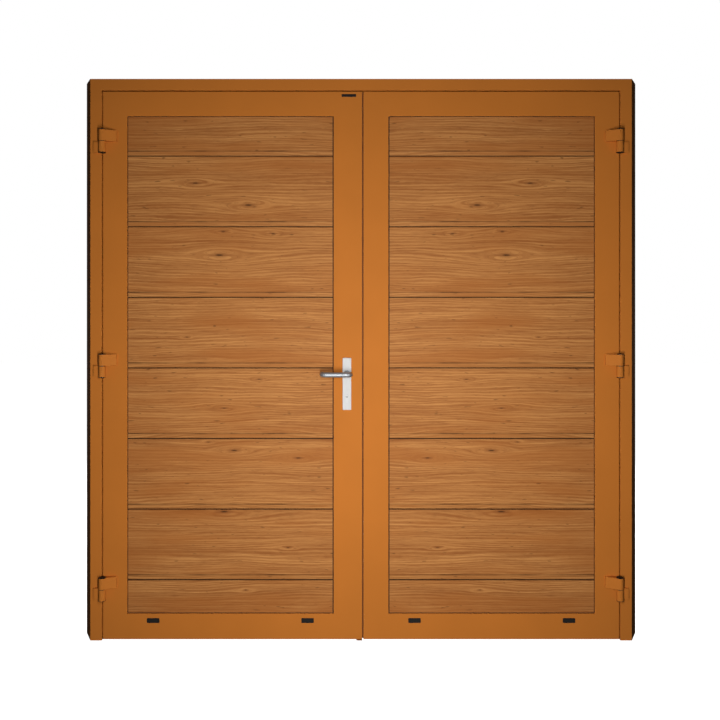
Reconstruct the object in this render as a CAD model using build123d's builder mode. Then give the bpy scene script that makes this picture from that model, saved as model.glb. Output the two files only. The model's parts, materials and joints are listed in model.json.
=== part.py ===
"""Outward-opening double door with a three-sided frame, two panelled leaves and a lever handle.

Millimetres. +Z is up and -Y is outside. The origin is on the frame's flat back face, at the
middle of its top edge, so the frame hangs below z = 0 and stands in front of y = 0.
"""

import os
from math import acos, asin, atan2, ceil, cos, degrees, hypot, sin

from build123d import *

# Frame
frame_width = 2170.0
frame_height = 2250.0
frame_face = 46.0
tube_wall = 3.0
flare_width = 40.0
flare_wall = 2.0
edge_round = 1.2

# Stops behind the leaves, with their seal
stop_width = 25.0
stop_thickness = 12.0
stop_clearance = 8.0
seal_width = 9.0
seal_height = 3.0
butt_gap = 0.5

# Leaves
leaf_gap = 5.0
floor_gap = 5.0
meeting_x = 7.0
meeting_gap = 5.4
hinge_stile_face = 97.5
infill_inner_x = 110.0
top_rail_face = 98.5
bottom_rail_face = 102.5
lip_width = 15.0
lip_thickness = 4.0
meeting_lip_depth = 8.0
meeting_recess = 2.0

# Panel sections, their boards and what holds them in the leaf
panel_thickness = 40.0
panel_play = 2.0
front_gasket = 1.5
gasket_show = 2.0
gasket_show_inner = 4.0
first_groove = 308.5
board_pitch = 283.4
boards_per_section = 2
bevel_height = 20.0
bevel_depth = 2.5
slot_width = 3.2
slot_depth = 7.0
tongue_width = 12.0
tongue_height = 8.0
tongue_taper = 2.0
bead_thickness = 4.5

# Hinges: the leaf knuckle stands on the frame knuckle
bottom_hinge_height = 214.0
middle_hinge_height = 1102.0
top_hinge_drop = 254.0
hinge_axis_inset = 4.0
knuckle_r = 14.0
knuckle_clearance = 6.0
leaf_knuckle_height = 44.0
base_knuckle_height = 43.0
pin_r = 6.0
pin_clearance = 0.05
pin_reach = 36.0
collar_inset = 1.0
knuckle_gap = 2.5
collar_clearance = 0.3
leaf_wing_reach = 53.0
leaf_wing_end = 7.0
leaf_wing_inset = 2.0
base_wing_reach = 38.0
base_wing_thickness = 12.0
base_gusset = 4.0
cap_overhang = 0.5
cap_height = 5.0
cap_rim = 1.5

# Lock and handle set
backset = 60.8
spindle_height = 1069.0
spindle_side = 8.0
spindle_end_cover = 3.0
cylinder_drop = 92.0
plate_width = 35.0
plate_height = 208.0
plate_top_above_spindle = 63.5
plate_thickness = 8.0
plate_corner_r = 3.0
plate_bevel = 1.5
journal_r = 9.0
journal_clearance = 0.05
journal_lift = 1.0
lever_r = 10.0
lever_out = 50.0
lever_length = 97.0
lever_return = 22.0
lever_crank = 34.0
neck_bend_r = 14.0
lever_bend_r = 11.0
lever_end_bend_r = 14.0
lever_bend_step = 24.0
neck_length = 15.0
collar_base_r = 13.5
collar_length = 8.0
collar_lift = 0.5
cylinder_r = 8.5
cylinder_leg = 10.0
cylinder_height = 33.0
cylinder_proud = 3.0
key_slot_length = 9.0
key_slot_height = 2.4
key_slot_depth = 8.0
lock_plate_width = 22.0
lock_plate_height = 240.0
lock_plate_thickness = 3.0

# Small pieces
drain_width = 50.0
drain_height = 19.0
drain_thickness = 3.0
drain_corner_r = 4.0
drain_bevel = 1.0
drain_from_infill_side = 104.0
drain_below_infill = 27.0
foot_width = 23.0
foot_depth = 15.0
meeting_seal_base = 8.0
meeting_seal_lip = 2.0
meeting_seal_shy = 0.7

# Fixing holes
fixing_r = 5.25
fixing_from_end = 175.0
fixing_from_middle = 320.0
header_fixing_spacing = 1000.0
bore_overrun = 1.0

# Worked out from the sizes above
leaf_depth = lip_thickness + front_gasket + panel_thickness + bead_thickness
frame_depth = leaf_depth + stop_clearance + stop_thickness
half_width = frame_width / 2
floor_z = -frame_height
front_y = -frame_depth
leaf_back_y = front_y + leaf_depth
leaf_top_z = -frame_face - leaf_gap
leaf_bottom_z = floor_z + floor_gap
leaf_hinge_x = half_width - frame_face - leaf_gap
infill_outer_x = leaf_hinge_x - hinge_stile_face
infill_top_z = leaf_top_z - top_rail_face
infill_bottom_z = leaf_bottom_z + bottom_rail_face
panel_front_y = front_y + lip_thickness + front_gasket
panel_back_y = panel_front_y + panel_thickness
hinge_axis_x = leaf_hinge_x - hinge_axis_inset
hinge_axis_out = knuckle_r + knuckle_clearance
hinge_axis_y = front_y - hinge_axis_out
hinge_heights = (bottom_hinge_height, middle_hinge_height, frame_height - top_hinge_drop)
cap_r = knuckle_r + cap_overhang
meeting_edge_x = {-1: meeting_x - meeting_gap / 2, 1: meeting_x + meeting_gap / 2}
spindle_x = meeting_edge_x[-1] - backset
spindle_z = floor_z + spindle_height
spindle_reach = plate_thickness + collar_lift + neck_length - spindle_end_cover
cylinder_z = spindle_z - cylinder_drop
lock_plate_y = (front_y + meeting_lip_depth + leaf_back_y) / 2
side_name = {-1: "left", 1: "right"}


def save(part, label):
    """Label a finished piece and write its STEP file."""
    part.label = label
    export_step(part, f"parts/{label}.step")


def slab(outline, back, front, mode=Mode.ADD):
    """Inside a part: extrude an outline of (x, z) points from y = back to y = front."""
    with BuildSketch(Plane.XZ.offset(-back)) as face:
        Polygon(*outline, align=None)
    extrude(face.sketch, amount=back - front, mode=mode)


def box_outline(x0, x1, z0, z1):
    """The corners of an upright rectangle, whichever way round its x values are given."""
    low, high = min(x0, x1), max(x0, x1)
    return [(low, z0), (high, z0), (high, z1), (low, z1)]


def round_long_front_edges(axis):
    """Inside a part: round the long front edges of a straight bar."""
    front = faces().sort_by(Axis.Y)[0]
    fillet(front.edges().filter_by(axis), edge_round)


def jamb(side):
    """A hollow post, mitred to the header, with the holes for the wall fixings."""
    outer, inner = side * half_width, side * (half_width - frame_face)
    wall = side * tube_wall
    with BuildPart() as post:
        slab([(outer, floor_z), (outer, 0), (inner, -frame_face), (inner, floor_z)], 0, front_y)
        round_long_front_edges(Axis.Z)
        slab(
            box_outline(outer - wall, inner + wall, floor_z, 0),
            -tube_wall,
            front_y + tube_wall,
            Mode.SUBTRACT,
        )
        fixing_holes(side)
    save(post.part, f"{side_name[side]}_jamb")


def fixing_holes(side):
    """Inside a part: bore the sideways fixing holes through everything beside the leaf."""
    reach = frame_face + flare_width + 2 * bore_overrun
    start = side * (half_width - frame_face - bore_overrun)
    end_offset, middle_offset = frame_height / 2 - fixing_from_end, fixing_from_middle
    with BuildSketch(Plane.YZ.offset(start)) as holes:
        for offset_z in (-end_offset, -middle_offset, middle_offset, end_offset):
            with Locations((-frame_depth / 2, floor_z + frame_height / 2 + offset_z)):
                Circle(fixing_r)
    extrude(holes.sketch, amount=side * reach, mode=Mode.SUBTRACT)


def header():
    """The hollow head of the frame, with two fixing holes up into the lintel."""
    inner = half_width - frame_face
    with BuildPart() as head:
        slab(
            [(-half_width, 0), (half_width, 0), (inner, -frame_face), (-inner, -frame_face)],
            0,
            front_y,
        )
        round_long_front_edges(Axis.X)
        slab(
            box_outline(-half_width, half_width, -frame_face + tube_wall, -tube_wall),
            -tube_wall,
            front_y + tube_wall,
            Mode.SUBTRACT,
        )
        with BuildSketch(Plane.XY.offset(-frame_face)):
            with Locations((0, -frame_depth / 2)):
                with GridLocations(header_fixing_spacing, 0, 2, 1):
                    Circle(fixing_r)
        extrude(amount=frame_face, mode=Mode.SUBTRACT)
    save(head.part, "header")


def fixing_profile(side):
    """The flared profile on a jamb's outer side: a hollow wedge, wider at the wall."""
    near, far = side * half_width, side * (half_width + flare_width)
    with BuildPart() as wedge:
        with BuildSketch(Plane.XY.offset(floor_z)):
            Polygon((near, front_y), (far, 0), (near, 0), align=None)
            offset(amount=-flare_wall, mode=Mode.SUBTRACT)
        extrude(amount=frame_height)
        fixing_holes(side)
    save(wedge.part, f"{side_name[side]}_fixing_profile")


def stops():
    """Three flat bars at the back of the frame that the leaves close towards."""
    outer = half_width - frame_face
    inner = outer - stop_width
    under = -frame_face
    with BuildPart() as bars:
        for side in (-1, 1):
            slab(box_outline(side * outer, side * inner, floor_z, under), 0, -stop_thickness)
        across = inner - butt_gap
        slab(box_outline(-across, across, under - stop_width, under), 0, -stop_thickness)
    save(bars.part, "frame_stops")


def frame_gasket():
    """A half-round rubber seal on each stop, facing the leaves."""
    half = seal_width / 2
    centre = half_width - frame_face - stop_width / 2
    top = -frame_face - stop_width / 2
    face = -stop_thickness
    cut = centre - half - butt_gap
    with BuildPart() as seal:
        for x in (-centre, centre):
            with BuildSketch(Plane.XY.offset(floor_z)):
                with BuildLine():
                    ThreePointArc((x - half, face), (x, face - seal_height), (x + half, face))
                    Line((x + half, face), (x - half, face))
                make_face()
            extrude(amount=top + half - floor_z)
        with BuildSketch(Plane.YZ.offset(-cut)):
            with BuildLine():
                ThreePointArc((face, top - half), (face - seal_height, top), (face, top + half))
                Line((face, top + half), (face, top - half))
            make_face()
        extrude(amount=2 * cut)
    save(seal.part, "frame_gasket")


def leaf_bar(outline, chamber, rebate, long_axis):
    """Inside a part: a hollow leaf bar with the rebate that the panels sit in."""
    slab(outline, leaf_back_y, front_y)
    round_long_front_edges(long_axis)
    slab(chamber, leaf_back_y - tube_wall, front_y + tube_wall, Mode.SUBTRACT)
    slab(rebate, leaf_back_y, front_y + lip_thickness, Mode.SUBTRACT)


def stile(side, at_hinge):
    """One upright of a leaf, with mitred ends."""
    if at_hinge:
        outer, inner, inward = side * leaf_hinge_x, side * infill_outer_x, -side
    else:
        outer, inner, inward = meeting_edge_x[side], side * infill_inner_x, side
    box_edge = inner - inward * lip_width
    ends = [(outer, leaf_bottom_z), (outer, leaf_top_z), (inner, infill_top_z), (inner, infill_bottom_z)]
    leaf_bar(
        ends,
        box_outline(
            outer + inward * (tube_wall + (0 if at_hinge else meeting_recess)),
            box_edge - inward * tube_wall,
            leaf_bottom_z,
            leaf_top_z,
        ),
        box_outline(box_edge, inner, leaf_bottom_z, leaf_top_z),
        Axis.Z,
    )


def hinge_stile(side):
    """The upright that carries the hinges."""
    with BuildPart() as bar:
        stile(side, at_hinge=True)
    save(bar.part, f"{side_name[side]}_hinge_stile")


def meeting_stile(side):
    """The upright at the middle: recessed behind its front lip, and cut for the lock or strike."""
    edge = meeting_edge_x[side]
    recessed = edge + side * meeting_recess
    with BuildPart() as bar:
        stile(side, at_hinge=False)
        slab(
            box_outline(edge, recessed, leaf_bottom_z, leaf_top_z),
            leaf_back_y,
            front_y + meeting_lip_depth,
            Mode.SUBTRACT,
        )
        lock_pocket(recessed, side, Mode.SUBTRACT)
        if side < 0:
            with BuildSketch(Plane.XZ.offset(-leaf_back_y)):
                with Locations((spindle_x, spindle_z)):
                    Circle(journal_r)
                cylinder_section()
            extrude(amount=leaf_depth, mode=Mode.SUBTRACT)
    save(bar.part, f"{side_name[side]}_meeting_stile")


def lock_pocket(face_x, side, mode=Mode.ADD):
    """Inside a part: the slim block of the lock's faceplate or its strike, let into the edge."""
    half = lock_plate_width / 2
    slab(
        box_outline(
            face_x,
            face_x + side * lock_plate_thickness,
            spindle_z - cylinder_drop / 2 - lock_plate_height / 2,
            spindle_z - cylinder_drop / 2 + lock_plate_height / 2,
        ),
        lock_plate_y + half,
        lock_plate_y - half,
        mode,
    )


def lock_edge_piece(side, label):
    """The lock's faceplate or its strike, flush with the recessed edge of its stile."""
    with BuildPart() as plate:
        lock_pocket(meeting_edge_x[side] + side * meeting_recess, side)
    save(plate.part, label)


def rail(side, top):
    """A crosswise bar of a leaf, with mitred ends."""
    outer_z, inner_z = (leaf_top_z, infill_top_z) if top else (leaf_bottom_z, infill_bottom_z)
    inward = -1 if top else 1
    box_edge = inner_z - inward * lip_width
    hinge_x, meet_x = side * leaf_hinge_x, meeting_edge_x[side]
    ends = [
        (hinge_x, outer_z),
        (meet_x, outer_z),
        (side * infill_inner_x, inner_z),
        (side * infill_outer_x, inner_z),
    ]
    with BuildPart() as bar:
        leaf_bar(
            ends,
            box_outline(hinge_x, meet_x, outer_z + inward * tube_wall, box_edge - inward * tube_wall),
            box_outline(hinge_x, meet_x, box_edge, inner_z),
            Axis.X,
        )
        slab(
            box_outline(meet_x, meet_x + side * meeting_recess, leaf_bottom_z, leaf_top_z),
            leaf_back_y,
            front_y + meeting_lip_depth,
            Mode.SUBTRACT,
        )
    save(bar.part, f"{side_name[side]}_{'top' if top else 'bottom'}_rail")


def groove_heights():
    """The heights of the lines between boards, from the top one down."""
    heights = []
    z = -first_groove
    while z > infill_bottom_z:
        heights.append(z)
        z -= board_pitch
    return heights


def board_edge(z):
    """Front points down a bevelled board edge and across the slot under it."""
    low, high = z - slot_width / 2, z + slot_width / 2
    return [
        (panel_front_y, z + bevel_height),
        (panel_front_y + bevel_depth, high),
        (panel_front_y + slot_depth, high),
        (panel_front_y + slot_depth, low),
        (panel_front_y, low),
    ]


def joint_edge(z, under):
    """The tongue's points along the top of a section, from front to back, or the groove's."""
    y0 = panel_front_y + (panel_thickness - tongue_width) / 2
    y1 = y0 + tongue_width
    crest = z + tongue_height
    across = [(y0, z), (y0 + tongue_taper, crest), (y1 - tongue_taper, crest), (y1, z)]
    front = [(panel_front_y + slot_depth, z)]
    return front + across if under else list(reversed(front + across))


def panel_section(side, number, top_z, bottom_z, grooves):
    """One sandwich section: boards on its front, a tongue on top and a groove below."""
    at_top, at_bottom = top_z is None, bottom_z is None
    top = infill_top_z + lip_width - panel_play if at_top else top_z
    bottom = infill_bottom_z - lip_width + panel_play if at_bottom else bottom_z
    points = [(panel_front_y, top)] if at_top else joint_edge(top, under=False)
    if not at_top:
        under_slot = top - slot_width / 2
        points += [(panel_front_y + slot_depth, under_slot), (panel_front_y, under_slot)]
    for z in grooves:
        points += board_edge(z)
    if at_bottom:
        points.append((panel_front_y, bottom))
    else:
        points += board_edge(bottom)[:3] + joint_edge(bottom, under=True)
    points += [(panel_back_y, bottom), (panel_back_y, top)]
    inner_x = infill_inner_x - lip_width + panel_play
    outer_x = infill_outer_x + lip_width - panel_play
    start = inner_x if side > 0 else -outer_x
    with BuildPart() as section:
        with BuildSketch(Plane.YZ.offset(start)):
            Polygon(*points, align=None)
        extrude(amount=outer_x - inner_x)
    save(section.part, f"{side_name[side]}_panel_{number}")


def panel_sections(side):
    """Share the boards out over the sections of a leaf, from the top down."""
    lines = groove_heights()
    joints = lines[1::boards_per_section]
    tops, bottoms = [None] + joints, joints + [None]
    for number, (top, bottom) in enumerate(zip(tops, bottoms), start=1):
        low = -frame_height if bottom is None else bottom
        high = 0 if top is None else top
        panel_section(side, number, top, bottom, [z for z in lines if low < z < high])


def ring(outer, inner, back, front):
    """Inside a part: a flat frame between two (x0, x1, z0, z1) rectangles."""
    slab(box_outline(*outer), back, front)
    slab(box_outline(*inner), back, front, Mode.SUBTRACT)


def panel_gasket(side):
    """The black strip between the leaf's front lip and its panels."""
    grow = lip_width - panel_play
    outer_x, inner_x = infill_outer_x, infill_inner_x
    top, bottom = infill_top_z, infill_bottom_z
    with BuildPart() as strip:
        ring(
            (side * (outer_x + grow), side * (inner_x - grow), bottom - grow, top + grow),
            (
                side * (outer_x - gasket_show),
                side * (inner_x + gasket_show_inner),
                bottom + gasket_show,
                top - gasket_show,
            ),
            panel_front_y,
            panel_front_y - front_gasket,
        )
    save(strip.part, f"{side_name[side]}_panel_gasket")


def glazing_beads(side):
    """Four clip-in bars that hold the panels from behind."""
    x0, x1 = side * (infill_outer_x + lip_width), side * (infill_inner_x - lip_width)
    z0, z1 = infill_bottom_z - lip_width, infill_top_z + lip_width
    low, high = z0 + lip_width + butt_gap, z1 - lip_width - butt_gap
    with BuildPart() as beads:
        slab(box_outline(x0, x1, z0, z0 + lip_width), leaf_back_y, panel_back_y)
        slab(box_outline(x0, x1, z1 - lip_width, z1), leaf_back_y, panel_back_y)
        slab(box_outline(x0, x0 - side * lip_width, low, high), leaf_back_y, panel_back_y)
        slab(box_outline(x1, x1 + side * lip_width, low, high), leaf_back_y, panel_back_y)
    save(beads.part, f"{side_name[side]}_glazing_beads")


def tangent_point(px, py, radius, turn):
    """Where a line from (px, py) touches a circle about the origin, on the chosen side."""
    angle = atan2(py, px) + turn * acos(radius / hypot(px, py))
    return radius * cos(angle), radius * sin(angle)


def hinge_leaves(side):
    """The knuckles on a leaf: a barrel that runs out into a wedge on the stile's face."""
    toward = -side

    def place(u, v):
        return side * hinge_axis_x + toward * u, hinge_axis_y + v

    foot, tip = (-leaf_wing_inset, hinge_axis_out), (leaf_wing_reach, hinge_axis_out)
    shoulder = (leaf_wing_reach, hinge_axis_out - leaf_wing_end)
    nose = tangent_point(*shoulder, knuckle_r, -1)
    heel = tangent_point(*foot, knuckle_r, 1)
    with BuildPart() as knuckles:
        for height in hinge_heights:
            start = floor_z + height + knuckle_gap / 2
            with BuildSketch(Plane.XY.offset(start)):
                wedge = [place(*p) for p in (foot, tip, shoulder, nose, (0, 0), heel)]
                Polygon(*wedge, align=None)
                with Locations(place(0, 0)):
                    Circle(knuckle_r)
                    Circle(pin_r + pin_clearance, mode=Mode.SUBTRACT)
            extrude(amount=leaf_knuckle_height)
    save(knuckles.part, f"{side_name[side]}_hinge_leaves")


def hinge_bases(side):
    """The knuckles on the frame: a barrel with a gusset to a thick plate on the jamb."""
    jamb_edge = hinge_axis_inset + leaf_gap
    plate_front = hinge_axis_out - base_wing_thickness
    wing = [
        (0, 0),
        (knuckle_r, 0),
        (knuckle_r + base_gusset, plate_front),
        (base_wing_reach, plate_front),
        (base_wing_reach, hinge_axis_out),
        (jamb_edge, hinge_axis_out),
        (jamb_edge, 0),
    ]
    with BuildPart() as knuckles:
        for height in hinge_heights:
            start = floor_z + height - knuckle_gap / 2 - base_knuckle_height
            with BuildSketch(Plane.XY.offset(start)):
                Polygon(*[(side * (hinge_axis_x + u), hinge_axis_y + v) for u, v in wing], align=None)
                with Locations((side * hinge_axis_x, hinge_axis_y)):
                    Circle(knuckle_r)
                    Circle(pin_r, mode=Mode.SUBTRACT)
            extrude(amount=base_knuckle_height)
    save(knuckles.part, f"{side_name[side]}_hinge_bases")


def hinge_round(side, label, profile):
    """Turn the same half profile of (radius, height) points about the axis at each hinge."""
    with BuildPart() as turned:
        for height in hinge_heights:
            origin = (side * hinge_axis_x, hinge_axis_y, floor_z + height)
            plane = Plane(origin=origin, x_dir=(1, 0, 0), z_dir=(0, -1, 0))
            with BuildSketch(plane):
                with BuildLine():
                    profile()
                make_face()
            revolve(axis=Axis(origin, (0, 0, 1)))
    save(turned.part, f"{side_name[side]}_{label}")


def pin_profile():
    """A pin with the collar that carries the leaf's knuckle."""
    low = -knuckle_gap / 2 - base_knuckle_height
    collar_low = -knuckle_gap / 2
    collar_high = knuckle_gap / 2 - collar_clearance
    collar_r = knuckle_r - collar_inset
    Polyline(
        (0, low),
        (pin_r, low),
        (pin_r, collar_low),
        (collar_r, collar_low),
        (collar_r, collar_high),
        (pin_r, collar_high),
        (pin_r, pin_reach),
        (0, pin_reach),
        close=True,
    )


def domed_cap(base, rim, crown):
    """A cap's half profile: flat at its base, with a shallow dome from its rim to its crown."""
    rise = abs(crown - rim)
    dome_r = (cap_r**2 + rise**2) / (2 * rise)
    up = 1 if crown > rim else -1
    half_angle = asin(cap_r / dome_r) / 2
    shoulder = (dome_r * sin(half_angle), crown - up * dome_r * (1 - cos(half_angle)))
    Polyline((0, crown), (0, base), (cap_r, base), (cap_r, rim))
    ThreePointArc((cap_r, rim), shoulder, (0, crown))


def top_cap_profile():
    """The cap over a leaf knuckle."""
    base = knuckle_gap / 2 + leaf_knuckle_height
    domed_cap(base, base + cap_rim, base + cap_height)


def bottom_cap_profile():
    """The cap under a frame knuckle."""
    base = -knuckle_gap / 2 - base_knuckle_height
    domed_cap(base, base - cap_rim, base - cap_height)


def handle_plate(outside):
    """The long plate round the lever and the lock cylinder."""
    face, away = (front_y, -1) if outside else (leaf_back_y, 1)
    centre_z = spindle_z + plate_top_above_spindle - plate_height / 2
    plane = Plane(origin=(0, face, 0), x_dir=(1, 0, 0), z_dir=(0, -1, 0))
    with BuildPart() as plate:
        with BuildSketch(plane):
            with Locations((spindle_x, centre_z)):
                Rectangle(plate_width, plate_height)
        extrude(amount=-away * plate_thickness)
        fillet(plate.edges().filter_by(Axis.Y), plate_corner_r)
        chamfer(plate.faces().sort_by(Axis.Y)[0 if outside else -1].edges(), plate_bevel)
        with BuildSketch(plane):
            with Locations((spindle_x, spindle_z)):
                Circle(journal_r)
            cylinder_section()
        extrude(amount=-away * plate_thickness, mode=Mode.SUBTRACT)
    save(plate.part, f"{'outer' if outside else 'inner'}_handle_plate")


def cylinder_section():
    """Inside a sketch: the outline of the lock cylinder, a circle over a narrow leg."""
    leg = cylinder_height - cylinder_r
    with Locations((spindle_x, cylinder_z)):
        Circle(cylinder_r)
    with Locations((spindle_x, cylinder_z - (leg - cylinder_leg / 2) / 2)):
        Rectangle(cylinder_leg, leg - cylinder_leg / 2)
    with Locations((spindle_x, cylinder_z - leg + cylinder_leg / 2)):
        Circle(cylinder_leg / 2)


def lock_cylinder():
    """The profile cylinder through the leaf, with a key slot at each end."""
    reach = plate_thickness + cylinder_proud
    with BuildPart() as barrel:
        with BuildSketch(Plane.XZ.offset(-leaf_back_y - reach)):
            cylinder_section()
        extrude(amount=leaf_depth + 2 * reach)
        for start, inward in ((front_y - reach, -1), (leaf_back_y + reach, 1)):
            with BuildSketch(Plane.XZ.offset(-start)):
                with Locations((spindle_x, cylinder_z)):
                    Rectangle(key_slot_length, key_slot_height)
            extrude(amount=inward * key_slot_depth, mode=Mode.SUBTRACT)
    save(barrel.part, "lock_cylinder")


def stepped_path(smooth):
    """Points along a wire, with its arcs cut into short straight steps."""
    pieces = smooth.order_edges()
    points = []
    for piece in pieces:
        turn = 0 if piece.geom_type == GeomType.LINE else degrees(piece.length / piece.radius)
        steps = max(1, ceil(turn / lever_bend_step))
        points += piece.positions([i / steps for i in range(steps)])
    return points + [pieces[-1] @ 1]


def lever(outside):
    """A round bar that leaves the plate in a crank, turns along the door and returns at its end.

    Its bends are mitred in short steps, because a smooth one takes ten times the facets.
    """
    face, away = (front_y, -1) if outside else (leaf_back_y, 1)

    def at(u, out):
        return spindle_x + u, face + away * out, spindle_z

    seat = plate_thickness + collar_lift
    seat_plane = Plane(origin=at(0, seat), x_dir=(1, 0, 0), z_dir=(0, away, 0))
    with BuildLine() as bent:
        FilletPolyline(
            at(0, seat),
            at(0, seat + neck_length),
            at(lever_crank, lever_out),
            at(-lever_length, lever_out),
            at(-lever_length, lever_return),
            radius=[neck_bend_r, lever_bend_r, lever_end_bend_r],
        )
    with BuildPart() as handle:
        with BuildLine():
            Polyline(*stepped_path(bent.wire()))
        with BuildSketch(seat_plane):
            Circle(lever_r)
        sweep(transition=Transition.RIGHT)
        with BuildSketch(seat_plane):
            Circle(collar_base_r)
        with BuildSketch(seat_plane.offset(collar_length)):
            Circle(lever_r)
        loft()
        with BuildSketch(seat_plane):
            Circle(journal_r - journal_clearance)
        extrude(amount=journal_lift - seat)
        with BuildSketch(seat_plane.offset(journal_lift - seat)):
            Rectangle(spindle_side, spindle_side)
        extrude(amount=spindle_reach - journal_lift, mode=Mode.SUBTRACT)
    save(handle.part, f"{'outer' if outside else 'inner'}_lever")


def lever_spindle():
    """The square bar through the stile that turns both levers together."""
    with BuildPart() as bar:
        with BuildSketch(Plane.XZ.offset(-leaf_back_y - spindle_reach)):
            with Locations((spindle_x, spindle_z)):
                Rectangle(spindle_side, spindle_side)
        extrude(amount=leaf_depth + 2 * spindle_reach)
    save(bar.part, "lever_spindle")


def drain_covers(side):
    """Two black caps over the drain slots of a bottom rail."""
    z = infill_bottom_z - drain_below_infill
    near, far = infill_inner_x + drain_from_infill_side, infill_outer_x - drain_from_infill_side
    with BuildPart() as covers:
        with BuildSketch(Plane.XZ.offset(-front_y)):
            with Locations((side * near, z), (side * far, z)):
                RectangleRounded(drain_width, drain_height, drain_corner_r)
        extrude(amount=drain_thickness)
        chamfer(covers.faces().filter_by(Axis.Y).group_by(Axis.Y)[0].edges(), drain_bevel)
    save(covers.part, f"{side_name[side]}_drain_covers")


def meeting_seal():
    """A rubber lip along the active leaf's edge that closes the view between the leaves."""
    root = meeting_edge_x[-1] - meeting_recess
    edge = meeting_edge_x[-1]
    tip = meeting_edge_x[1] - meeting_seal_shy
    start = front_y + meeting_lip_depth
    middle = start + meeting_seal_base / 2
    with BuildPart() as seal:
        with BuildSketch(Plane.XY.offset(leaf_bottom_z)):
            Polygon(
                (root, start),
                (edge, start),
                (edge, middle - meeting_seal_lip / 2),
                (tip, middle - meeting_seal_lip / 2),
                (tip, middle + meeting_seal_lip / 2),
                (edge, middle + meeting_seal_lip / 2),
                (edge, start + meeting_seal_base),
                (root, start + meeting_seal_base),
                align=None,
            )
        extrude(amount=leaf_top_z - leaf_bottom_z)
    save(seal.part, "meeting_seal")


def meeting_foot():
    """The block under the active leaf's meeting edge that closes its end to the floor."""
    edge = meeting_edge_x[-1]
    with BuildPart() as block:
        slab(box_outline(edge - foot_width, edge, floor_z, leaf_bottom_z), front_y + foot_depth, front_y)
    save(block.part, "meeting_foot")


os.makedirs("parts", exist_ok=True)
header()
stops()
frame_gasket()
for side in (-1, 1):
    jamb(side)
    fixing_profile(side)
    hinge_bases(side)
    hinge_round(side, "hinge_pins", pin_profile)
    hinge_round(side, "hinge_bottom_caps", bottom_cap_profile)
    hinge_stile(side)
    meeting_stile(side)
    rail(side, top=True)
    rail(side, top=False)
    panel_sections(side)
    panel_gasket(side)
    glazing_beads(side)
    hinge_leaves(side)
    hinge_round(side, "hinge_top_caps", top_cap_profile)
    drain_covers(side)
lock_edge_piece(-1, "lock_faceplate")
lock_edge_piece(1, "lock_strike")
meeting_seal()
meeting_foot()
for outside in (True, False):
    handle_plate(outside)
    lever(outside)
lock_cylinder()
lever_spindle()
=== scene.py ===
"""Double panel door: finishes, screws, blank plate, seal tip and stage. Metres, +Z up, -Y outside."""

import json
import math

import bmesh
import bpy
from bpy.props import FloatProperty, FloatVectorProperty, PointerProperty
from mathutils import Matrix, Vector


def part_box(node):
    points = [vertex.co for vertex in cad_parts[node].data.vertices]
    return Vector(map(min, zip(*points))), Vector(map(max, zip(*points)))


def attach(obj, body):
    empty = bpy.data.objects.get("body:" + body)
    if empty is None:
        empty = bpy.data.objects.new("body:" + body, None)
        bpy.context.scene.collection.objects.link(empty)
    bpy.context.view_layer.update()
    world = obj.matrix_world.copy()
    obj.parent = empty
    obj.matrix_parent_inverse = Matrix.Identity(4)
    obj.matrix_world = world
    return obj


bl_info = {
    "name": "Double panel door finishes",
    "version": (1, 0, 0),
    "blender": (4, 5, 0),
    "location": "View3D > Sidebar > Door",
    "description": "Powder coat, wood foil, rubber, handle set and screws of a double door",
    "category": "Object",
}

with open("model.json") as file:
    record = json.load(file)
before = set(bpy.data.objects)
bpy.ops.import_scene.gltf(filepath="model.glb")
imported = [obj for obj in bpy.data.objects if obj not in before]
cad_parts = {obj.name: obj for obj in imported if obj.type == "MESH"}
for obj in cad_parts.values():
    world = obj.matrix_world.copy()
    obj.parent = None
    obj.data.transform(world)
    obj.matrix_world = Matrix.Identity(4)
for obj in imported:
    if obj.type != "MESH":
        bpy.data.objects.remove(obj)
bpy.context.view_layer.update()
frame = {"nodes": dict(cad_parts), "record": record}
nodes = frame["nodes"]

MM = 0.001

# The node types used most
COORDINATES = "ShaderNodeTexCoord"
MATH = "ShaderNodeMath"
RANGE = "ShaderNodeMapRange"
MIX = "ShaderNodeMix"
NOISE = "ShaderNodeTexNoise"
BUMP = "ShaderNodeBump"

# Read from the frame: the ground, the front face, the meeting line and the boards
FLOOR_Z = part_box("left_jamb")[0].z
FRONT_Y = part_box("left_jamb")[0].y
MEETING_X = (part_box("left_meeting_stile")[1].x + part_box("right_meeting_stile")[0].x) / 2
TONGUE = 8 * MM
BOARD_PITCH = (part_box("left_panel_2")[1].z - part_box("left_panel_3")[1].z) / 2
FIRST_GROOVE_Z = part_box("left_panel_2")[1].z - TONGUE + BOARD_PITCH
PANEL_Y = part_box("left_panel_2")[0].y
BEVEL = 20 * MM
BEVEL_DEPTH = 2.5 * MM
BEVEL_START = 1 - BEVEL / BOARD_PITCH

# A noise stays mostly between these two, so its ranges start and end there
NOISE_SPAN = (0.3, 0.7)

# How much each finish mirrors at its surface, and the size of the coat's orange peel:
# the real one is about 1 mm across, drawn at 3 mm so that it shows
COAT_SPECULAR = 0.04
FOIL_SPECULAR = 0.08
MOULDED_SPECULAR = 0.3
PEEL_SIZE = 3 * MM

# The foil's figure, in cycles a metre along and across the grain: what bends it, then bands 50 mm
# wide, streaks 13 mm, lines 7 mm and pores 3 mm, each longer than it is wide
WIDE_BENDS = (1.7, 6.0)
TIGHT_BENDS = (7.0, 22.0)
BANDS = (1.2, 20.0)
STREAKS = (2.2, 78.0)
LINES = (4.5, 140.0)
PORES = (26.0, 330.0)
PATCHES = (1.6, 9.0)
FLECKS = (26.0, 110.0)
PRESSURE = (9.0, 0.0)
PRESSURE_SEED = 1.7

# How far apart the year rings lie, and how far the bands lead them astray, in radians
RING_PITCH = 11 * MM
RING_STRAY = 26.0

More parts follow.
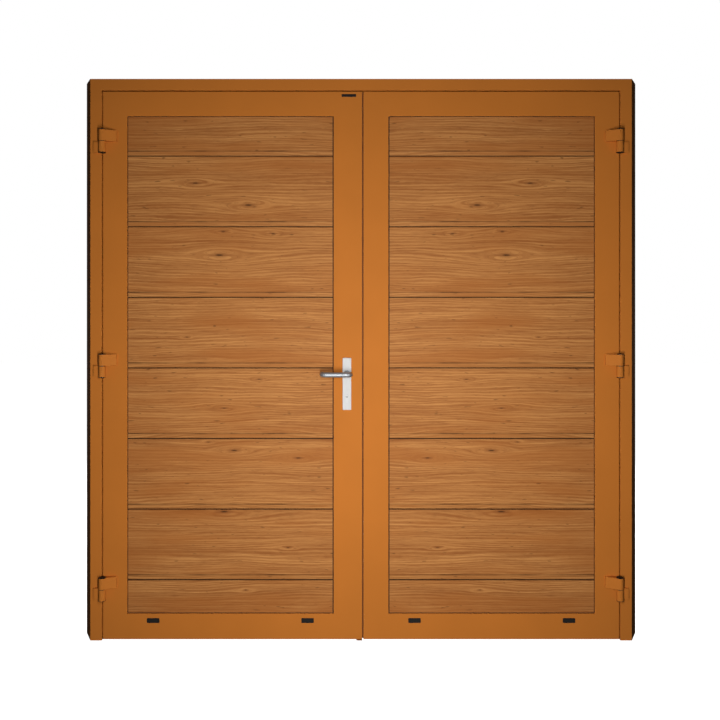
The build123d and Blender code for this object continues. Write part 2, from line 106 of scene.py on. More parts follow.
# The figure's level that is darkest and the one that is lightest, and where late wood lies in the lines
LEVEL_SPAN = (0.38, 0.64)
LATE_LEVEL = 0.46
LATE_WIDTH = 0.03
LATE_SHARE = 0.34

# Each board's own seed: a step from board to board, and the first
SEED_STEP = 7.31
SEED_START = 2.6

# Widths of the dark print at the bevel's edge, and of the dark at the groove's lips, partly print and
# partly painted shade, and the depths where the dark ends
EDGE_PRINT = (1.5 * MM, 3.5 * MM)
LIP_PRINT_AND_SHADE = (1.6 * MM, 5 * MM)
PRINT_AND_SHADE_END = (9 * MM, 12 * MM)

# A knot's height over its length, how far round it the grain bends and the wood darkens, in knots,
# how sharply the grain turns, and where its core starts to fade and ends, in squares of its radius
KNOT_SLIMNESS = 0.24
KNOT_FLOW = 7.0
KNOT_HALO = 3.0
KNOT_TURN = 0.4
KNOT_CORE = (0.1, 1.3)

# Knots of the foil, in millimetres: distance from the meeting line, drop below the frame's top
# and length
KNOTS = (
    (672, 417, 24),
    (459, 505, 30),
    (576, 706, 34),
    (560, 610, 18),
    (360, 619, 16),
    (706, 1035, 12),
    (416, 1204, 14),
    (556, 1320, 16),
    (620, 1456, 14),
    (516, 1490, 26),
    (259, 1520, 20),
    (556, 1735, 32),
    (300, 1880, 14),
    (470, 2050, 12),
)

# The blank plate, its middle measured from the leaf's meeting edge and top
BLANK_COLOUR = "2C2A29"
BLANK_THICKNESS = 1.2 * MM
BLANK_HEIGHT = 11 * MM
BLANK_INSET = 53 * MM
BLANK_DROP = 16 * MM
BLANK_CORNER = 2.5 * MM
BLANK_EDGE = 0.4 * MM

# The seal tip: its thickness, how far its middle lies behind the front of the seal, and its root in it
TIP_THICKNESS = 1.0 * MM
TIP_SETBACK = 1.5 * MM
TIP_ROOT = 0.5 * MM

# What lies deeper than this from either end of the cylinder is painted dark, as painted shade of the key
# slot
SLOT_SHADE = "0C0B0A"
SLOT_DEPTH = 1 * MM
SLOT_FADE = 1 * MM

# A screw head's top over its base, its socket over its head, and how far the heads stand out
SCREW_TAPER = 0.7
SCREW_SOCKET = 0.45
DOMED_HEAD = 1.4 * MM
FLAT_HEAD = 0.6 * MM

# The photograph's width and how far its middle lies from the camera's axis, in pixels, and the
# width of the sensor in millimetres
PHOTO_WIDTH = 720
SHIFT_X = -1.05
SHIFT_Y = -62.0
SENSOR_WIDTH = 36.0

# Lamps behind the front plane light the back, the sides and the top, and leave the front alone.
# Each has its name, its place from the middle of the wall face at the floor, and its power
REAR_LAMPS = (
    ("back_softbox", (-1.5, 3.3, 1.6), 60.0),
    ("back_softbox", (1.5, 3.3, 1.6), 60.0),
    ("side_softbox", (-3.4, 0.9, 1.1), 2.5),
    ("side_softbox", (3.4, 0.9, 1.1), 2.5),
    ("top_softbox", (0.0, 1.2, 4.8), 40.0),
)
REAR_LAMP_SIZE = 1.6
FRONT_LAMP_WIDTH = 0.2
GROUND_SIZE = 24


def linear(code):
    """A six-digit sRGB hex colour as linear red, green and blue."""
    channels = [int(code[i : i + 2], 16) / 255 for i in (0, 2, 4)]
    return tuple(c / 12.92 if c <= 0.04045 else ((c + 0.055) / 1.055) ** 2.4 for c in channels)


def add(tree, kind, inputs=(), **settings):
    """Add a node with its settings. An input is a value, a socket, or a node for its first live output."""
    made = tree.nodes.new(kind)
    for name, value in settings.items():
        setattr(made, name, value)
    given = inputs if isinstance(inputs, dict) else dict(enumerate(inputs))
    for key, value in given.items():
        if isinstance(value, bpy.types.Node):
            value = next(output for output in value.outputs if output.enabled)
        socket = made.inputs[key]
        if isinstance(value, bpy.types.NodeSocket):
            tree.links.new(value, socket)
        elif socket.type == "RGBA":
            socket.default_value = (*value[:3], 1)
        else:
            socket.default_value = value
    return made


def blank_material(name):
    """A material without nodes, and its node tree."""
    material = bpy.data.materials.new(name)
    material.use_nodes = True
    material.node_tree.nodes.clear()
    return material, material.node_tree


def finish_with(tree, inputs):
    """Close a material: a principled shader with these inputs, linked to the output."""
    add(tree, "ShaderNodeOutputMaterial", {"Surface": add(tree, "ShaderNodeBsdfPrincipled", inputs)})


def paint(node_names, material):
    """Give CAD nodes their finish."""
    for name in node_names:
        mesh = nodes[name].data
        mesh.materials.clear()
        mesh.materials.append(material)


def powder_coat(name, colour, roughness):
    """Polyester powder coat on aluminium: even and satin, with a faint orange peel in its gloss."""
    material, tree = blank_material(name)
    place = add(tree, COORDINATES).outputs["Object"]
    cloud = add(tree, NOISE, {"Vector": place, "Scale": 5.0, "Detail": 3.0})
    tone = add(tree, RANGE, (cloud, *NOISE_SPAN, 0.97, 1.03))
    toned = {0: 1.0, 6: colour, 7: tone}
    peel = add(tree, NOISE, {"Vector": place, "Scale": 1 / PEEL_SIZE})
    finish_with(
        tree,
        {
            "Base Color": add(tree, MIX, toned, data_type="RGBA", blend_type="MULTIPLY"),
            "Roughness": add(tree, RANGE, (peel, *NOISE_SPAN, roughness - 0.05, roughness + 0.05)),
            "Specular IOR Level": COAT_SPECULAR,
            "Normal": add(tree, BUMP, {"Strength": 0.10, "Distance": 0.2 * MM, "Height": peel}),
        },
    )
    return material


def grain_noise(tree, along, across, scales, seed, detail):
    """A noise that is long along the grain: scales are cycles a metre along and across it."""
    far = add(tree, MATH, (along, scales[0]), operation="MULTIPLY")
    near = add(tree, MATH, (across, scales[1]), operation="MULTIPLY")
    vector = add(tree, "ShaderNodeCombineXYZ", (far, near, seed))
    return add(tree, NOISE, {"Vector": vector, "Scale": 1.0, "Detail": detail, "Roughness": 0.6})


def knots_in(tree, along, height):
    """How far each point's grain is led aside by the knots, how near a knot it is, and how deep in one."""
    shift, halo, core = 0.0, 0.0, 0.0
    for distance, drop, length in KNOTS:
        radius = length / 2 * MM * KNOT_SLIMNESS
        lead = (KNOT_FLOW * radius) ** 2
        off = add(tree, MATH, (along, distance * MM), operation="SUBTRACT")
        aside = add(tree, MATH, (off, KNOT_SLIMNESS), operation="MULTIPLY")
        rise = add(tree, MATH, (height, drop * MM), operation="ADD")
        across = add(tree, MATH, (aside, aside), operation="MULTIPLY")
        square = add(tree, MATH, (rise, rise, across), operation="MULTIPLY_ADD")
        spread = add(tree, MATH, (square, KNOT_TURN * lead), operation="ADD")
        push = add(tree, MATH, (-lead, spread), operation="DIVIDE")
        shift = add(tree, MATH, (push, rise, shift), operation="MULTIPLY_ADD")
        reach = (KNOT_HALO * radius) ** 2
        near = add(tree, RANGE, (square, 0.0, reach, 1.0, 0.0), interpolation_type="SMOOTHSTEP")
        full, faded = (share * radius**2 for share in KNOT_CORE)
        deep = add(tree, RANGE, (square, full, faded, 1.0, 0.0))
        halo = add(tree, MATH, (near, halo), operation="MAXIMUM")
        core = add(tree, MATH, (deep, core), operation="MAXIMUM")
    return shift, halo, core


def grain_in(tree, along, height, down, seed, shift, swell):
    """The grain's level from dark to light, its late wood lines and its pores."""
    far = grain_noise(tree, along, height, WIDE_BENDS, seed, 1.0)
    near = grain_noise(tree, along, height, TIGHT_BENDS, seed, 2.0)
    flow = add(tree, MATH, (down, -BOARD_PITCH, shift), operation="MULTIPLY_ADD")
    flow = add(tree, MATH, (far, swell, flow), operation="MULTIPLY_ADD")
    flow = add(tree, MATH, (near, swell / 6, flow), operation="MULTIPLY_ADD")
    bands = grain_noise(tree, along, flow, BANDS, seed, 2.0)
    streaks = grain_noise(tree, along, flow, STREAKS, seed, 3.0)
    lines = grain_noise(tree, along, flow, LINES, seed, 2.0)
    pores = grain_noise(tree, along, flow, PORES, seed, 2.0)
    turns = add(tree, MATH, (flow, math.tau / RING_PITCH), operation="MULTIPLY")
    turns = add(tree, MATH, (bands, RING_STRAY, turns), operation="MULTIPLY_ADD")
    rings = add(tree, MATH, (turns,), operation="SINE")
    level = add(tree, MATH, (rings, 0.05, 0.06), operation="MULTIPLY_ADD")
    for layer, share in ((bands, 0.20), (streaks, 0.28), (pores, 0.18), (lines, 0.24)):
        level = add(tree, MATH, (layer, share, level), operation="MULTIPLY_ADD")
    level = add(tree, RANGE, (level, *LEVEL_SPAN, 0.0, 1.0))
    # Late wood is a thin darker line where the growth lines cross one level
    off = add(tree, MATH, (lines, LATE_LEVEL), operation="SUBTRACT")
    late = add(tree, MATH, (off,), operation="ABSOLUTE")
    return level, add(tree, RANGE, (late, 0.0, LATE_WIDTH, LATE_SHARE, 0.0)), pores


def board_in(tree, height):
    """How many boards down each point is, how far down its board, whether on the bevel, and its seed."""
    fall = add(tree, MATH, (FIRST_GROOVE_Z, height), operation="SUBTRACT")
    steps = add(tree, MATH, (fall, BOARD_PITCH), operation="DIVIDE")
    board = add(tree, MATH, (steps,), operation="FLOOR")
    down = add(tree, MATH, (steps, board), operation="SUBTRACT")
    bevel = add(tree, MATH, (down, BEVEL_START), operation="GREATER_THAN")
    flat = add(tree, MATH, (1.0, bevel), operation="SUBTRACT")
    number = add(tree, MATH, (board, SEED_STEP, SEED_START), operation="MULTIPLY_ADD")
    return steps, down, bevel, add(tree, MATH, (flat, number), operation="MULTIPLY")


def pressed_in(tree, along, steps, down, inward):
    """Where the foil is dark: the bevel's edge and how much, as print; the groove's lips and the groove,
    partly print and partly painted shade; the front.
    """
    from_edge = add(tree, MATH, (down, BEVEL_START), operation="SUBTRACT")
    from_edge = add(tree, MATH, (from_edge,), operation="ABSOLUTE")
    full, faded = (width / BOARD_PITCH for width in EDGE_PRINT)
    edge = add(tree, RANGE, (from_edge, full, faded, 1.0, 0.0))
    uneven = grain_noise(tree, along, 0.0, PRESSURE, PRESSURE_SEED, 2.0)
    uneven = add(tree, RANGE, (uneven, 0.35, 0.65, 0.2, 0.7))
    from_groove = add(tree, MATH, (steps, 0.5), operation="PINGPONG")
    full, faded = (width / BOARD_PITCH for width in LIP_PRINT_AND_SHADE)
    lip_print_and_shade = add(tree, RANGE, (from_groove, full, faded, 0.4, 0.0))
    # The groove is deeper than the bevel and dark, partly print and partly painted shade; behind it the
    # foil is plain again
    depth = add(tree, MATH, (inward, PANEL_Y), operation="SUBTRACT")
    groove_print_and_shade = add(tree, RANGE, (depth, BEVEL_DEPTH, 1.6 * BEVEL_DEPTH, 0.0, 1.0))
    front = add(tree, RANGE, (depth, *PRINT_AND_SHADE_END, 1.0, 0.0))
    return edge, uneven, lip_print_and_shade, groove_print_and_shade, front


def wood_foil(settings):
    """Printed oak foil on steel skin: flowing grain along each board, small knots, satin lacquer."""
    material, tree = blank_material("printed_oak_foil")
    place = add(tree, "ShaderNodeSeparateXYZ", (add(tree, COORDINATES).outputs["Object"],)).outputs
    # The right leaf mirrors the left, so the figure is drawn by the distance from the meeting line
    off = add(tree, MATH, (place[0], MEETING_X), operation="SUBTRACT")
    along = add(tree, MATH, (off,), operation="ABSOLUTE")
    height = place[2]
    steps, down, bevel, seed = board_in(tree, height)
    shift, halo, core = knots_in(tree, along, height)
    level, late, pores = grain_in(tree, along, height, down, seed, shift, settings.grain_swell)
    patch = grain_noise(tree, along, height, PATCHES, seed, 2.0)
    patch = add(tree, RANGE, (patch, 0.46, 0.66, 0.0, 0.6))
    fleck = grain_noise(tree, along, height, FLECKS, seed, 1.0)
    fleck = add(tree, RANGE, (fleck, 0.70, 0.78, 0.0, 0.5))
    edge, uneven, lip_print_and_shade, groove_print_and_shade, front = pressed_in(tree, along, steps, down, place[1])
    body = add(tree, MIX, {0: level, 6: settings.wood_dark, 7: settings.wood_light}, data_type="RGBA")
    for share, weight, colour in (
        (late, 1.0, settings.wood_line),
        (patch, 1.0, settings.wood_red),
        (fleck, 1.0, settings.wood_knot),
        # Painted highlight: every bevel is lightened by 15 % of the light grain
        (bevel, 0.15, settings.wood_light),
        (halo, 0.50, settings.wood_line),
        (core, 0.80, settings.wood_knot),
        (edge, uneven, settings.wood_knot),
        # The groove and its lips are darkened partly as print and partly as painted shade
        (lip_print_and_shade, front, settings.wood_knot),
        (groove_print_and_shade, front, settings.wood_knot),
    ):
        factor = add(tree, MATH, (share, weight), operation="MULTIPLY")
        body = add(tree, MIX, {0: factor, 6: body, 7: colour}, data_type="RGBA")
    finish_with(
        tree,
        {
            "Base Color": body,
            "Roughness": add(tree, RANGE, (pores, *NOISE_SPAN, 0.56, 0.70)),
            "Specular IOR Level": FOIL_SPECULAR,
            "Normal": add(tree, BUMP, {"Strength": 0.15, "Distance": 0.2 * MM, "Height": pores}),
        },
    )
    return material


def moulded(name, colour, roughness, grit):
    """Rubber or plastic from a mould: nearly black, its spark-eroded grit breaking up the gloss."""
    material, tree = blank_material(name)
    place = add(tree, COORDINATES).outputs["Object"]
    pits = add(tree, NOISE, {"Vector": place, "Scale": 1 / grit})
    tone = add(tree, RANGE, (pits, *NOISE_SPAN, 0.8, 1.2))
    toned = {0: 1.0, 6: colour, 7: tone}
    finish_with(
        tree,
        {
            "Base Color": add(tree, MIX, toned, data_type="RGBA", blend_type="MULTIPLY"),
            "Roughness": add(tree, RANGE, (pits, *NOISE_SPAN, roughness - 0.08, roughness + 0.08)),
            "Specular IOR Level": MOULDED_SPECULAR,
            "Normal": add(tree, BUMP, {"Strength": 0.2, "Distance": 0.1 * MM, "Height": pits}),
        },
    )
    return material


def satin_metal(name, colour, roughness, grain, ends=None):
    """Ground or anodised metal: fine lines along the axis of low scale, and painted shade between two ends.
    """
    material, tree = blank_material(name)
    place = add(tree, COORDINATES).outputs["Object"]
    stretched = add(tree, "ShaderNodeMapping", {"Vector": place, "Scale": grain})
    lines = add(tree, NOISE, {"Vector": stretched, "Scale": 1.0})
    body = add(tree, MIX, {0: lines, 6: [0.95 * c for c in colour], 7: colour}, data_type="RGBA")
    # Painted shade: inside the key slot, deeper than SLOT_DEPTH from either end, the metal is coloured dark
    if ends:
        depth = add(tree, "ShaderNodeSeparateXYZ", (place,)).outputs[1]
        off = add(tree, MATH, (depth, sum(ends) / 2), operation="SUBTRACT")
        off = add(tree, MATH, (off,), operation="ABSOLUTE")
        lit_from = (ends[1] - ends[0]) / 2 - SLOT_DEPTH
        lit = add(tree, RANGE, (off, lit_from - SLOT_FADE, lit_from, 0.0, 1.0))
        body = add(tree, MIX, {0: lit, 6: linear(SLOT_SHADE), 7: body}, data_type="RGBA")
    finish_with(
        tree,
        {
            "Base Color": body,
            "Metallic": 1.0,
            "Roughness": add(tree, RANGE, (lines, *NOISE_SPAN, roughness - 0.06, roughness + 0.06)),
            "Normal": add(tree, BUMP, {"Strength": 0.08, "Distance": 0.05 * MM, "Height": lines}),
        },
    )
    return material


def screw_tree():
    """Geometry nodes: a domed screw head with a hexagon socket at each point, along one axis."""
    tree = bpy.data.node_groups.new("screw_heads", "GeometryNodeTree")
    face = tree.interface
    face.new_socket("Points", in_out="INPUT", socket_type="NodeSocketGeometry")
    for name in ("Head Radius", "Head Height", "Socket Radius"):
        socket = face.new_socket(name, in_out="INPUT", socket_type="NodeSocketFloat")
        socket.default_value = 2 * MM
    face.new_socket("Turn", in_out="INPUT", socket_type="NodeSocketVector")
    face.new_socket("Finish", in_out="INPUT", socket_type="NodeSocketMaterial")
    face.new_socket("Screws", in_out="OUTPUT", socket_type="NodeSocketGeometry")
    given = add(tree, "NodeGroupInput").outputs
    top = add(tree, MATH, (given["Head Radius"], SCREW_TAPER), operation="MULTIPLY")
    cone = {
        "Vertices": 24,
        "Radius Top": top,
        "Radius Bottom": given["Head Radius"],
        "Depth": given["Head Height"],
    }
    head = add(tree, "GeometryNodeMeshCone", cone)
    hexagon = {"Vertices": 6, "Radius": given["Socket Radius"], "Depth": given["Head Height"]}
    socket = add(tree, "GeometryNodeMeshCylinder", hexagon)
    lifted = add(tree, "ShaderNodeCombineXYZ", {2: given["Head Height"]})
    cutter = add(tree, "GeometryNodeTransform", {"Geometry": socket, "Translation": lifted})
    cut = add(tree, "GeometryNodeMeshBoolean", {"Mesh 1": head, "Mesh 2": cutter}, operation="DIFFERENCE")
    turn = add(tree, "FunctionNodeEulerToRotation", (given["Turn"],))
    copies = {"Points": given["Points"], "Instance": cut, "Rotation": turn}
    real = add(tree, "GeometryNodeRealizeInstances", (add(tree, "GeometryNodeInstanceOnPoints", copies),))
    finish = add(tree, "GeometryNodeSetMaterial", {"Geometry": real, "Material": given["Finish"]})
    add(tree, "NodeGroupOutput", (finish,))
    return tree


def grown(name, points, tree, values, body):
    """Run a tree on a set of points, keep the result as a plain mesh and let it ride on a body."""
    mesh = bpy.data.meshes.new(name)
    mesh.from_pydata([tuple(p) for p in points], [], [])
    piece = bpy.data.objects.new(name, mesh)
    bpy.context.scene.collection.objects.link(piece)
    modifier = piece.modifiers.new("grow", "NODES")
    modifier.node_group = tree
    for item in tree.interface.items_tree:
        if item.in_out == "INPUT" and item.name in values:
            modifier[item.identifier] = values[item.name]
    graph = bpy.context.evaluated_depsgraph_get()
    result = bpy.data.meshes.new_from_object(piece.evaluated_get(graph))
    piece.modifiers.remove(modifier)
    piece.data = result
    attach(piece, body)
    return piece


def block(size):
    """A bmesh box of this size round the origin."""
    shape = bmesh.new()
    bmesh.ops.create_cube(shape, size=1.0)
    bmesh.ops.scale(shape, vec=size, verts=shape.verts)
    return shape


def placed(shape, name, centre, material):
    """Move a bmesh to its place and make it an object of one material."""
    bmesh.ops.translate(shape, vec=centre, verts=shape.verts)
    mesh = bpy.data.meshes.new(name)
    shape.to_mesh(mesh)
    shape.free()
    mesh.materials.append(material)
    piece = bpy.data.objects.new(name, mesh)
    bpy.context.scene.collection.objects.link(piece)
    return piece


def white_floor():
    """Matt white paint that glows, so that the ground shows as white as the photograph's."""
    material, tree = blank_material("matt_white_floor")
    place = add(tree, COORDINATES).outputs["Object"]
    cloud = add(tree, NOISE, {"Vector": place, "Scale": 0.6})
    finish_with(
        tree,
        {
            "Base Color": add(tree, RANGE, (cloud, *NOISE_SPAN, 0.78, 0.82)),
            "Roughness": 0.9,
            "Emission Color": (1, 1, 1, 1),
            "Emission Strength": 1.0,
        },
    )
    return material


def white_studio(settings):
    """A white world, which metal mirrors as a pale studio in front of the door and the dark behind it."""
    world = bpy.data.worlds.new("white_studio")
    world.use_nodes = True
    sky = world.node_tree
    sky.nodes.clear()
    ray = add(sky, "ShaderNodeLightPath").outputs
    way = add(sky, "ShaderNodeSeparateXYZ", (add(sky, COORDINATES).outputs["Generated"],))
    studio = add(sky, RANGE, (way.outputs[1], -0.3, 0.1, settings.sheen, settings.fill))
    mirrored = add(sky, MATH, (ray["Is Glossy Ray"], studio), operation="MULTIPLY")
    unseen = add(sky, MATH, (mirrored, settings.fill), operation="MAXIMUM")
    strength = add(sky, MATH, (unseen, ray["Is Camera Ray"]), operation="MAXIMUM")
    white = add(sky, "ShaderNodeBackground", {"Color": (1, 1, 1, 1), "Strength": strength})
    add(sky, "ShaderNodeOutputWorld", {"Surface": white})
    return world


def softbox(name, shape, size, power, spot, aim):
    """An area lamp at a spot, turned to a point and unseen by the camera."""
    lamp = bpy.data.lights.new(name, "AREA")
    lamp.shape = shape
    lamp.size = size
    lamp.energy = power
    holder = bpy.data.objects.new(name, lamp)
    bpy.context.scene.collection.objects.link(holder)
    holder.location = spot
    holder.rotation_euler = (aim - spot).to_track_quat("-Z", "Y").to_euler()
    holder.visible_camera = False
    return lamp


def eye_level_camera(settings):
    """The camera, level, with the photograph's place and shift."""
    camera_data = bpy.data.cameras.new("eye_level")
    camera_data.lens = settings.lens
    camera_data.sensor_width = SENSOR_WIDTH
    camera_data.shift_x = SHIFT_X / PHOTO_WIDTH
    camera_data.shift_y = SHIFT_Y / PHOTO_WIDTH
    camera = bpy.data.objects.new("eye_level", camera_data)
    bpy.context.scene.collection.objects.link(camera)
    camera.location = (0, FRONT_Y - settings.camera_distance, FLOOR_Z + settings.eye_height)
    camera.rotation_euler = (math.pi / 2, 0, 0)
    return camera


class DoorPaintSettings(bpy.types.PropertyGroup):
    """Colours of the powder coat, the rubber and the plastic."""

    coat: FloatVectorProperty(
        name="Coat",
        description="Powder coat of the frame, the leaves and the hinges",
        subtype="COLOR",
        default=linear("CB7930"),
    )
    # Painted shade: the flared sides take a darker copy of the coat, as the coat looks with the light
    # grazing it
    side: FloatVectorProperty(
        name="Side",
        description="Powder coat of the flared side profiles",
        subtype="COLOR",
        default=linear("7A4C23"),
    )
    rubber: FloatVectorProperty(
        name="Gaskets",
        description="Rubber round frame and panels",
        subtype="COLOR",
        default=linear("1B150E"),
    )
    # Painted shade: the meeting seal and its tip take the coat's colour as it looks in shade in the gap
    # between the leaves
    meeting: FloatVectorProperty(
        name="Meeting seal",
        description="Seal between the leaves",
        subtype="COLOR",
        default=linear("6E3A18"),
    )
    plastic: FloatVectorProperty(
        name="Plastic", description="Caps and drain covers", subtype="COLOR", default=linear("15110D")
    )
    roughness: FloatProperty(
        name="Roughness", description="Roughness of the coat", subtype="FACTOR", default=0.6, min=0.1, max=1
    )


class DoorWoodSettings(bpy.types.PropertyGroup):
    """Colours and figure of the wood foil."""

    wood_dark: FloatVectorProperty(
        name="Dark grain", description="Darkest streaks", subtype="COLOR", default=linear("9F5F2E")
    )
    wood_light: FloatVectorProperty(
        name="Light grain", description="Lightest streaks", subtype="COLOR", default=linear("D08F50")
    )
    wood_line: FloatVectorProperty(
        name="Late wood", description="Thin lines of late wood", subtype="COLOR", default=linear("824A25")
    )
    wood_red: FloatVectorProperty(
        name="Red patches", description="Reddish patches", subtype="COLOR", default=linear("AE672F")
    )
    wood_knot: FloatVectorProperty(
        name="Knots", description="Cores of the knots", subtype="COLOR", default=linear("3A2212")
    )
    grain_swell: FloatProperty(
        name="Swell",
        description="How far the grain wanders up and down a board",
        subtype="DISTANCE",
        unit="LENGTH",
        default=50 * MM,
    )


class DoorMetalSettings(bpy.types.PropertyGroup):
    """Finish of the handle set and the screws."""

    plate: FloatVectorProperty(
        name="Plates", description="Anodised handle plates", subtype="COLOR", default=linear("E2E1E0")
    )
    steel: FloatVectorProperty(
        name="Steel", description="Lever, cylinder and screws", subtype="COLOR", default=linear("A4A8AC")
    )
    screw_radius: FloatProperty(
        name="Screw head",
        description="Radius of a screw head",
        subtype="DISTANCE",
        unit="LENGTH",
        default=3.6 * MM,
    )
    screw_inset: FloatProperty(
        name="Screw inset",
        description="From a plate's end to its screw",
        subtype="DISTANCE",
        unit="LENGTH",
        default=16 * MM,
    )
    badge_length: FloatProperty(
        name="Blank plate",
        description="Length of the blank plate",
        subtype="DISTANCE",
        unit="LENGTH",
        default=58 * MM,
    )


class DoorStageSettings(bpy.types.PropertyGroup):
    """Camera and light."""

    camera_distance: FloatProperty(
        name="Camera distance",
        description="From the frame's front face",
        subtype="DISTANCE",
        unit="LENGTH",
        default=2.9,
    )
    eye_height: FloatProperty(
        name="Eye height", description="Above the floor", subtype="DISTANCE", unit="LENGTH", default=1.372
    )
    lens: FloatProperty(name="Lens", description="Focal length in millimetres", default=36.2)
    lamp_distance: FloatProperty(
        name="Lamp distance",
        description="From the frame's front face",
        subtype="DISTANCE",
        unit="LENGTH",
        default=2.0,
    )
    lamp_height: FloatProperty(
        name="Lamp height", description="Above the floor", subtype="DISTANCE", unit="LENGTH", default=0.95
    )
    lamp_length: FloatProperty(
        name="Lamp length",
        description="Height of the lit strip",
        subtype="DISTANCE",
        unit="LENGTH",
        default=1.4,
    )
    lamp_power: FloatProperty(
        name="Lamp power",
        description="Power of the front lamp",
        subtype="POWER",
        unit="POWER",
        default=42.0,
    )
    fill: FloatProperty(name="Fill", description="Strength of the light from all round", default=0.03)
    sheen: FloatProperty(name="Sheen", description="Strength of the studio that metal mirrors", default=0.3)


class DOOR_OT_coat(bpy.types.Operator):
    """Powder coat the frame, the leaves and the hinges"""

    bl_idname = "door.coat"
    bl_label = "Powder coat"

    def execute(self, context):
        settings = context.scene.door_paint
        coat = powder_coat("satin_powder_coat", settings.coat, settings.roughness)
        # Painted shade: a darker copy of the coat for the flared sides
        side = powder_coat("side_coat_painted_shade", settings.side, settings.roughness)
        slots = {s["node"]: s["material_slot"] for s in frame["record"]["subparts"]}
        paint([n for n in slots if slots[n] in ("frame_paint", "hinge_paint")], coat)
        paint([n for n in slots if slots[n] == "side_paint"], side)
        return {"FINISHED"}


class DOOR_OT_boards(bpy.types.Operator):
    """Print the wood foil on the panel sections"""

    bl_idname = "door.boards"
    bl_label = "Wood foil"

    def execute(self, context):
        foil = wood_foil(context.scene.door_wood)
        paint([n for n in nodes if "_panel_" in n and "gasket" not in n], foil)
        return {"FINISHED"}


class DOOR_OT_seals(bpy.types.Operator):
    """Finish the seals, the caps and the drain covers"""

    bl_idname = "door.seals"
    bl_label = "Rubber and plastic"

    def execute(self, context):
        settings = context.scene.door_paint
        rubber = moulded("extruded_epdm_rubber", settings.rubber, 0.75, 2.5 * MM)
        plastic = moulded("moulded_black_nylon", settings.plastic, 0.45, 1.5 * MM)
        # Painted shade: the meeting seal is coloured as the coat looks in shade
        painted_coat_shade = moulded("rubber_in_painted_coat_shade", settings.meeting, 0.75, 2.5 * MM)
        paint([n for n in nodes if "gasket" in n], rubber)
        paint(["meeting_seal", "meeting_foot"], painted_coat_shade)
        paint([n for n in nodes if "caps" in n or "drain" in n or "pins" in n], plastic)
        return {"FINISHED"}


class DOOR_OT_handle(bpy.types.Operator):
    """Finish the handle set and the lock"""

    bl_idname = "door.handle"
    bl_label = "Handle set"

    def execute(self, context):
        settings = context.scene.door_metal
        plate = satin_metal("silver_anodised_aluminium", settings.plate, 0.85, (900, 900, 60))
        steel = satin_metal("ground_stainless_steel", settings.steel, 0.55, (60, 900, 900))
        ends = [corner.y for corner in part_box("lock_cylinder")]
        nickel = satin_metal("satin_nickel_slot_shade", settings.plate, 0.82, (900, 60, 900), ends)
        paint(["outer_handle_plate", "inner_handle_plate"], plate)
        paint(["lock_cylinder"], nickel)
        paint(["outer_lever", "inner_lever", "lever_spindle", "lock_faceplate", "lock_strike"], steel)
        return {"FINISHED"}


class DOOR_OT_screws(bpy.types.Operator):
    """Set screw heads in the handle plate, the faceplate and the strike"""

    bl_idname = "door.screws"
    bl_label = "Screws"

    def execute(self, context):
        settings = context.scene.door_metal
        tree = screw_tree()
        values = {
            "Head Radius": settings.screw_radius,
            "Socket Radius": settings.screw_radius * SCREW_SOCKET,
            "Finish": bpy.data.materials["ground_stainless_steel"],
        }
        for node, body, side, height in (
            ("inner_handle_plate", "left_leaf", Vector((0, 1, 0)), DOMED_HEAD),
            ("lock_faceplate", "left_leaf", Vector((1, 0, 0)), FLAT_HEAD),
            ("lock_strike", "right_leaf", Vector((-1, 0, 0)), FLAT_HEAD),
        ):
            low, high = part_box(node)
            middle, half = (low + high) / 2, (high - low) / 2
            face = middle + Vector(tuple(s * h for s, h in zip(side, half)))
            reach = half.z - settings.screw_inset
            points = [face + Vector((0, 0, reach * way)) for way in (-1, 1)]
            values["Head Height"] = height
            values["Turn"] = side.to_track_quat("Z", "Y").to_euler()
            grown(f"{node}_screws", points, tree, values, body)
        return {"FINISHED"}


class DOOR_OT_blank_plate(bpy.types.Operator):
    """Fix the small blank plate under the middle of the header"""

    bl_idname = "door.blank_plate"
    bl_label = "Blank plate"

    def execute(self, context):
        size = Vector((context.scene.door_metal.badge_length, BLANK_THICKNESS, BLANK_HEIGHT))
        low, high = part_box("left_top_rail")
        centre = Vector((high.x - BLANK_INSET, low.y - size.y / 2, high.z - BLANK_DROP))
        shape = block(size)
        ends = [e for e in shape.edges if abs(e.verts[0].co.y - e.verts[1].co.y) > size.y / 2]
        bmesh.ops.bevel(shape, geom=ends, offset=BLANK_CORNER, segments=6, affect="EDGES", profile=0.5)
        front = [e for e in shape.edges if all(v.co.y < -size.y / 4 for v in e.verts)]
        bmesh.ops.bevel(shape, geom=front, offset=BLANK_EDGE, segments=2, affect="EDGES", profile=0.5)
        dark = satin_metal("dark_anodised_aluminium", linear(BLANK_COLOUR), 0.55, (60, 900, 900))
        plate = placed(shape, "blank_plate", centre, dark)
        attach(plate, "left_leaf")
        return {"FINISHED"}


class DOOR_OT_seal_tip(bpy.types.Operator):
    """Add the thin soft tip that the meeting seal rests on the other leaf with"""

    bl_idname = "door.seal_tip"
    bl_label = "Seal tip"

    def execute(self, context):
        low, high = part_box("meeting_seal")
        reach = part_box("right_meeting_stile")[0].x
        size = Vector((reach - high.x + TIP_ROOT, TIP_THICKNESS, high.z - low.z))
        centre = Vector((reach - size.x / 2, low.y + TIP_SETBACK, (low.z + high.z) / 2))
        # Painted shade: the tip takes the meeting seal's colour of the coat in shade
        rubber = bpy.data.materials["rubber_in_painted_coat_shade"]
        tip = placed(block(size), "meeting_seal_tip", centre, rubber)
        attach(tip, "left_leaf")
        return {"FINISHED"}


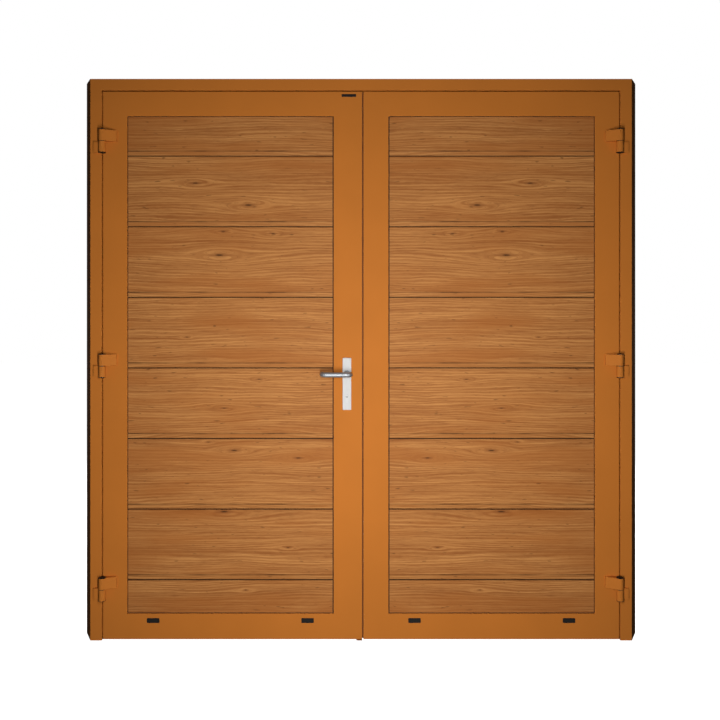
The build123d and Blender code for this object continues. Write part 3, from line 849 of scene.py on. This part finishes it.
class DOOR_OT_stage(bpy.types.Operator):
    """Set the floor, the camera and the lights"""

    bl_idname = "door.stage"
    bl_label = "Stage"

    def execute(self, context):
        settings = context.scene.door_stage
        scene = context.scene
        bpy.ops.mesh.primitive_plane_add(size=GROUND_SIZE, location=(0, 0, FLOOR_Z))
        floor = context.object
        floor.name = "studio_floor"
        floor.data.materials.append(white_floor())
        # The floor shows white, as the photograph's ground does, and lights nothing
        floor.visible_diffuse = False
        floor.visible_glossy = False

        scene.world = white_studio(settings)
        spot = Vector((0, FRONT_Y - settings.lamp_distance, FLOOR_Z + settings.lamp_height))
        ahead = spot + Vector((0, 1, 0))
        strip = softbox(
            "front_softbox", "RECTANGLE", FRONT_LAMP_WIDTH, settings.lamp_power, spot, ahead
        )
        strip.size_y = settings.lamp_length
        foot = Vector((0, 0, FLOOR_Z))
        for name, place, power in REAR_LAMPS:
            softbox(name, "DISK", REAR_LAMP_SIZE, power, foot + Vector(place), foot / 2)
        scene.camera = eye_level_camera(settings)
        scene.view_settings.view_transform = "Standard"
        return {"FINISHED"}


class DOOR_PT_panel(bpy.types.Panel):
    """The door's operators in the sidebar"""

    bl_idname = "DOOR_PT_panel"
    bl_label = "Double panel door"
    bl_space_type = "VIEW_3D"
    bl_region_type = "UI"
    bl_category = "Door"

    def draw(self, context):
        for operator in OPERATORS:
            self.layout.operator(operator.bl_idname)


SETTINGS = {
    "door_paint": DoorPaintSettings,
    "door_wood": DoorWoodSettings,
    "door_metal": DoorMetalSettings,
    "door_stage": DoorStageSettings,
}
OPERATORS = (
    DOOR_OT_coat,
    DOOR_OT_boards,
    DOOR_OT_seals,
    DOOR_OT_handle,
    DOOR_OT_screws,
    DOOR_OT_blank_plate,
    DOOR_OT_seal_tip,
    DOOR_OT_stage,
)


def register():
    for group in SETTINGS.values():
        bpy.utils.register_class(group)
    for name, group in SETTINGS.items():
        setattr(bpy.types.Scene, name, PointerProperty(type=group))
    for operator in OPERATORS:
        bpy.utils.register_class(operator)
    bpy.utils.register_class(DOOR_PT_panel)


def unregister():
    bpy.utils.unregister_class(DOOR_PT_panel)
    for operator in reversed(OPERATORS):
        bpy.utils.unregister_class(operator)
    for name, group in SETTINGS.items():
        delattr(bpy.types.Scene, name)
        bpy.utils.unregister_class(group)


def main():
    """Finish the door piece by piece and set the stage."""
    register()
    bpy.ops.door.coat()
    bpy.ops.door.boards()
    bpy.ops.door.seals()
    bpy.ops.door.handle()
    bpy.ops.door.screws()
    bpy.ops.door.blank_plate()
    bpy.ops.door.seal_tip()
    bpy.ops.door.stage()


if __name__ == "__main__":
    main()
